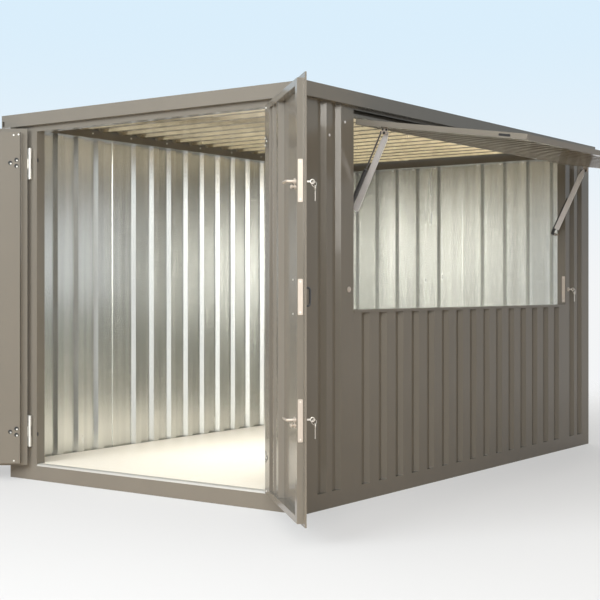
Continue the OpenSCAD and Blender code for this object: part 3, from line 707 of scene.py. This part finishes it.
LEVER_RADII = (0.0060, 0.0064, 0.0062, 0.0060, 0.0056, 0.0034)
LEVER_FLATTEN = 0.8
PLATE_ROUND = 0.004
PLATE_CHAMFER = 0.0005
SCREW_INSET = 0.012
KEY_T = 0.0022
KEY_CHAMFER = 0.0003
KEY_BOW = 0.0090
KEY_BOW_WIRE = 0.0026
KEY_BOW_OUT = 0.028
KEY_STUB = (0.018, 0.008, 0.002)
KEY_STUB_OUT = 0.013
KEY_BLADE = 0.050
KEY_HALF = 0.0040
KEY_TIP = 0.004
# Cuts along the blade: share of its length, share of its half width
KEY_CUTS = ((0.30, 0.4), (0.42, 0.9), (0.54, 0.3), (0.66, 0.8), (0.80, 0.2))
KEY_HANG = 0.026
KEY_HANG_OUT = 0.012
SPLIT_RING = 0.0110
SPLIT_RING_WIRE = 0.0010
SPLIT_RING_OUT = 0.008
SPLIT_RING_DROP = 0.011


def key_blade(length):
    """Outline of a key's blade along local x, cut for the pins on its lower edge."""
    end = length / 2
    lower = [(length * t - end, -KEY_HALF * d) for t, d in KEY_CUTS]
    upper = [(end, 0.0), (end - KEY_TIP, KEY_HALF), (-end, KEY_HALF)]
    return [(-end, -KEY_HALF)] + lower + upper


def add_keys(bm, origin, outward):
    """A key in its barrel, a split ring and a second key that hangs from it."""
    origin, outward, up = Vector(origin), Vector(outward), Vector(UP)
    side = outward.cross(up)
    bow = origin + KEY_BOW_OUT * outward
    add_ring(bm, bow, outward, up, KEY_BOW, KEY_BOW_WIRE)
    stub = facing_place(origin + KEY_STUB_OUT * outward - side * KEY_T / 2, side, up)
    add_plate(bm, rounded_outline(*KEY_STUB), KEY_T, stub, KEY_CHAMFER)
    loop = bow + SPLIT_RING_OUT * outward - SPLIT_RING_DROP * up
    add_ring(bm, loop, outward, up, SPLIT_RING, SPLIT_RING_WIRE)
    hung = bow + KEY_HANG_OUT * outward - KEY_HANG * up
    add_ring(bm, hung, side, up, KEY_BOW, KEY_BOW_WIRE)
    blade = facing_place(hung - (KEY_BOW + KEY_BLADE / 2) * up - outward * KEY_T / 2, outward, side)
    add_plate(bm, key_blade(KEY_BLADE), KEY_T, blade, KEY_CHAMFER)


def add_face_plate(bm, middle, outward, height):
    """Lock plate let into an edge, with rounded ends."""
    outline = rounded_outline(PLATE_W, height, PLATE_ROUND)
    add_plate(bm, outline, PLATE_T, facing_place(middle, outward, UP), PLATE_CHAMFER)


def plate_screws(middle, outward, height):
    """Screw spots at both ends of a lock plate."""
    reach = height / 2 - SCREW_INSET
    proud = Vector(middle) + PLATE_T * Vector(outward)
    return [(proud + Vector((0, 0, s * reach)), outward) for s in (-1, 1)]


def door_locks():
    """Face plates, levers with turn knobs inside and barrels outside on the right leaf."""
    bm = bmesh.new()
    screws = []
    for z, height in zip(LOCK_ZS, LOCK_PLATE_HS):
        middle = (LEAF_EDGE, LEAF_MIDDLE, z)
        add_face_plate(bm, middle, (-1, 0, 0), height)
        screws += plate_screws(middle, (-1, 0, 0), height)
    for z in (LOCK_ZS[0], LOCK_ZS[2]):
        add_turned(bm, ROSE, facing_place((LOCK_X, LEAF_INNER, z), INWARD, UP))
        lever = [(LOCK_X + reach, LEAF_INNER + rise, z) for reach, rise in zip(LEVER_REACH, LEVER_RISE)]
        add_rod(bm, lever, LEVER_RADII, 14, False, LEVER_FLATTEN)
        add_turned(bm, TURN_KNOB, facing_place((LOCK_X, LEAF_INNER, z - TURN_DROP), INWARD, UP))
        add_turned(bm, BARREL, facing_place((LOCK_X, LEAF_OUTER, z), OUT, UP))
    place = leaf_place("right_door")
    mesh = mesh_of("door_lock_set", bm, place)
    locks = add_piece("door_lock_set", mesh, LOCK_STEEL, "right_door")
    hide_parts("right_leaf_locks")
    fasteners("door_lock_screws", moved(place, screws), PLATE_SCREW, KEY_STEEL, "right_door")
    bm = bmesh.new()
    for z in (LOCK_ZS[0], LOCK_ZS[2]):
        add_keys(bm, (LOCK_X, LEAF_OUTER - BARREL[-1][1], z), OUT)
    add_piece("door_keys", mesh_of("door_keys", bm, place), KEY_STEEL, "right_door")


def door_pull():
    """Rounded pull on two feet outside at the middle lock."""
    bm = bmesh.new()
    z = LOCK_ZS[1]
    half = PULL_H / 2 - PULL_R
    out = LEAF_OUTER - PULL_OUT + PULL_R
    corner = [(PULL_BEND - PULL_BEND * math.cos(a), PULL_BEND - PULL_BEND * math.sin(a))
              for a in (math.radians(15 * i) for i in range(7))]
    upper = [(LOCK_X, out + d, z + half - h) for h, d in corner]
    path = [(LOCK_X, LEAF_OUTER, z + half)] + upper
    path += [(x, y, 2 * z - h) for x, y, h in reversed(path)]
    add_rod(bm, path, [PULL_R] * len(path), 14)
    for end in (-1, 1):
        add_turned(bm, PULL_FOOT, facing_place((LOCK_X, LEAF_OUTER, z + end * half), OUT, UP))
    mesh = mesh_of("door_pull", bm, leaf_place("right_door"))
    pull = add_piece("door_pull", mesh, BLACK, "right_door")
    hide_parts("right_leaf_handle")


def hatch_lock_set():
    """Face plates in the reveals, round roses with barrels on the wall, keys in the rear one."""
    bm = bmesh.new()
    keys = bmesh.new()
    screws = []
    for edge, hand in ((HATCH_FRONT, 1), (HATCH_REAR, -1)):
        middle = (edge, FLAP_T / 2, HATCH_LOCK_Z)
        add_face_plate(bm, middle, (hand, 0, 0), HATCH_PLATE_H)
        screws += plate_screws(middle, (hand, 0, 0), HATCH_PLATE_H)
        spot = (edge - hand * HATCH_SETBACK, 0, HATCH_LOCK_Z)
        add_turned(bm, HATCH_BARREL, facing_place(spot, OUT, UP))
        if hand < 0:
            add_keys(keys, (spot[0], -HATCH_BARREL[-1][1], HATCH_LOCK_Z), OUT)
    place = wall_place()
    mesh = mesh_of("hatch_lock_set", bm, place)
    locks = add_piece("hatch_lock_set", mesh, LOCK_STEEL, "shell")
    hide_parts("hatch_locks")
    fasteners("hatch_lock_screws", moved(place, screws), PLATE_SCREW, KEY_STEEL, "shell")
    add_piece("hatch_keys", mesh_of("hatch_keys", keys, place), KEY_STEEL, "shell")


def flap_slots():
    """Thin dark plates in the ends of the flap: painted shade standing for the slots that take the hatch bolts."""
    bm = bmesh.new()
    for edge, hand in ((HATCH_FRONT + FLAP_SIDE_GAP, -1), (HATCH_REAR - FLAP_SIDE_GAP, 1)):
        spot = facing_place((edge, FLAP_T / 2 + SHEET_T / 2, FLAP_SLOT_Z), (hand, 0, 0), UP)
        add_plate(bm, rounded_outline(*FLAP_SLOT_SHAPE), FLAP_SLOT_T, spot, 0.0003)
    add_piece("flap_slots", mesh_of("flap_slots", bm, flap_place()), OPENING_SHADE, "hatch")


def jamb_keepers():
    """Small dark keepers for the door bolts, on both door posts."""
    bm = bmesh.new()
    for hand in (-1, 1):
        for z in KEEPER_ZS:
            spot = facing_place((hand * JAMB_X, FRONT_Y + KEEPER_INSET, z), (-hand, 0, 0), UP)
            add_plate(bm, rounded_outline(*KEEPER_SHAPE), KEEPER_T, spot, 0.0010)
    add_piece("jamb_keepers", mesh_of("jamb_keepers", bm, Matrix()), BLACK, "shell")


door_locks()
door_pull()
hatch_lock_set()
flap_slots()
jamb_keepers()


# Studio

SEEN_RAYS = ("Is Camera Ray", "Is Glossy Ray", "Is Transmission Ray")
LENS_MM = 75.0
IMAGE_SIDE = 600
SHIFT_PIXELS = -11.14
CAMERA_PLACE = (4.698, -6.794, 1.121)
CAMERA_TURN = 35.93
SKY_LOW = (0.905, 0.915, 0.925, 1)
SKY_HIGH = (0.70, 0.855, 0.97, 1)
SOFT_REAR = (0.16, 0.15, 0.135, 1)
SOFT_FRONT = (0.50, 0.50, 0.49, 1)
FLOOR_RADIUS = 22.0
FLOOR_FADE = (3.2, 8.0)
FLOOR_REAR = (0.76, 0.76, 0.76, 1)
FLOOR_FRONT = (0.62, 0.62, 0.62, 1)
FLOOR_BOUNCE = (0.90, 0.71, 0.48, 1)
FLOOR_GLOW = (0.86, 0.865, 0.87, 1)
GLOW_SHARE = 0.5
WARM_WHITE = (1.0, 0.985, 0.96)


def set_camera():
    lens = bpy.data.cameras.new("photo_lens")
    lens.sensor_width = 36.0
    lens.lens = LENS_MM
    lens.shift_y = SHIFT_PIXELS / IMAGE_SIDE
    lens.clip_end = 200.0
    camera = bpy.data.objects.new("photo_camera", lens)
    camera.location = CAMERA_PLACE
    camera.rotation_euler = (math.radians(90), 0.0, math.radians(CAMERA_TURN))
    bpy.context.scene.collection.objects.link(camera)
    bpy.context.scene.camera = camera


def set_world():
    """Soft light, stronger from the front left; camera and mirror rays see a pale sky that fades to white."""
    world = bpy.data.worlds.new("studio")
    bpy.context.scene.world = world
    world.use_nodes = True
    graph = Graph(world.node_tree)
    world.node_tree.nodes.clear()
    ray = graph.node("ShaderNodeTexCoord", output="Generated")
    up = graph.along(ray, (0.0, 0.0, 1.0))
    sky = graph.mix(graph.step(up, -0.02, 0.22), SKY_LOW, SKY_HIGH)
    side = graph.step(graph.along(ray, (-0.50, -0.84, 0.20)), -0.7, 0.7)
    soft = graph.mix(side, SOFT_REAR, SOFT_FRONT)
    path = world.node_tree.nodes.new("ShaderNodeLightPath")
    seen = sum(Wire(graph, path.outputs[name]) for name in SEEN_RAYS)
    light = graph.node("ShaderNodeBackground", {}, {"Color": soft, "Strength": 1.0})
    view = graph.node("ShaderNodeBackground", {}, {"Color": sky, "Strength": 1.0})
    mixed = graph.node("ShaderNodeMixShader", {}, {0: seen, 1: light, 2: view})
    graph.node("ShaderNodeOutputWorld", {}, {"Surface": mixed})


def add_panel_light(name, place, target, size, power, colour, mirrored=True, spread=180.0):
    """Area lamp that faces its target. mirrored lets it show in reflections."""
    lamp = bpy.data.lights.new(name, "AREA")
    lamp.shape = "RECTANGLE"
    lamp.size, lamp.size_y = size
    lamp.energy = power
    lamp.color = colour
    lamp.spread = math.radians(spread)
    holder = bpy.data.objects.new(name, lamp)
    holder.location = place
    holder.rotation_euler = (Vector(target) - Vector(place)).to_track_quat("-Z", "Y").to_euler()
    holder.visible_camera = False
    holder.visible_glossy = mirrored
    bpy.context.scene.collection.objects.link(holder)


def add_floor():
    """Pale floor with a soft shadow. It fades out away from the kiosk and throws a warm light back up."""
    bm = bmesh.new()
    bmesh.ops.create_circle(bm, cap_ends=True, radius=FLOOR_RADIUS, segments=96)
    mesh = bpy.data.meshes.new("studio_floor")
    bm.to_mesh(mesh)
    bm.free()
    floor = bpy.data.objects.new("studio_floor", mesh)
    bpy.context.scene.collection.objects.link(floor)
    finish = Finish("studio_floor")
    far = finish.node("ShaderNodeVectorMath", {"operation": "LENGTH"}, {0: finish.where}, "Value")
    fade = finish.step(far, *FLOOR_FADE)
    lit = finish.step(finish.along(finish.where, (-0.3, -0.95, 0.0)), -0.5, 2.2)
    tint = finish.mix(0.85 * lit + 0.15 * finish.noise(0.6, 2.0), FLOOR_REAR, FLOOR_FRONT)
    path = finish.tree.nodes.new("ShaderNodeLightPath")
    seen = sum(Wire(finish, path.outputs[name]) for name in SEEN_RAYS)
    flat = finish.node("ShaderNodeBsdfDiffuse", {}, {"Color": finish.mix(seen, FLOOR_BOUNCE, tint)})
    glow = finish.node("ShaderNodeEmission", {}, {"Color": FLOOR_GLOW, "Strength": 1.0})
    pale = finish.node("ShaderNodeMixShader", {}, {0: GLOW_SHARE * seen, 1: flat, 2: glow})
    clear = finish.node("ShaderNodeBsdfTransparent", {}, {})
    finish.surface(finish.node("ShaderNodeMixShader", {}, {0: fade, 1: pale, 2: clear}))
    mesh.materials.append(finish.material)


set_camera()
set_world()
add_floor()
# Name, place, target, size, power, colour
add_panel_light("front_key", (-0.8, -9.0, 4.0), (0.0, -1.2, 1.0), (6.0, 3.6), 600.0,
                (0.93, 0.965, 1.0), mirrored=False)
add_panel_light("camera_side", (5.0, -7.4, 3.2), (1.2, -0.8, 1.2), (3.6, 3.4), 440.0,
                (1.0, 0.97, 0.915))
add_panel_light("overhead", (1.4, -3.2, 6.4), (1.4, -3.0, 0.0), (6.0, 6.0), 165.0,
                WARM_WHITE, mirrored=False)
add_panel_light("rear_fill", (-3.2, 8.0, 4.5), (-0.3, 1.2, 1.0), (5.0, 4.0), 330.0,
                WARM_WHITE, mirrored=False)
add_panel_light("room_light", (0.0, 0.0, 2.03), (0.0, 0.0, 0.0), (1.4, 2.6), 14.0,
                (1.0, 0.975, 0.93), mirrored=False, spread=66.0)
bpy.context.scene.view_settings.view_transform = "Standard"
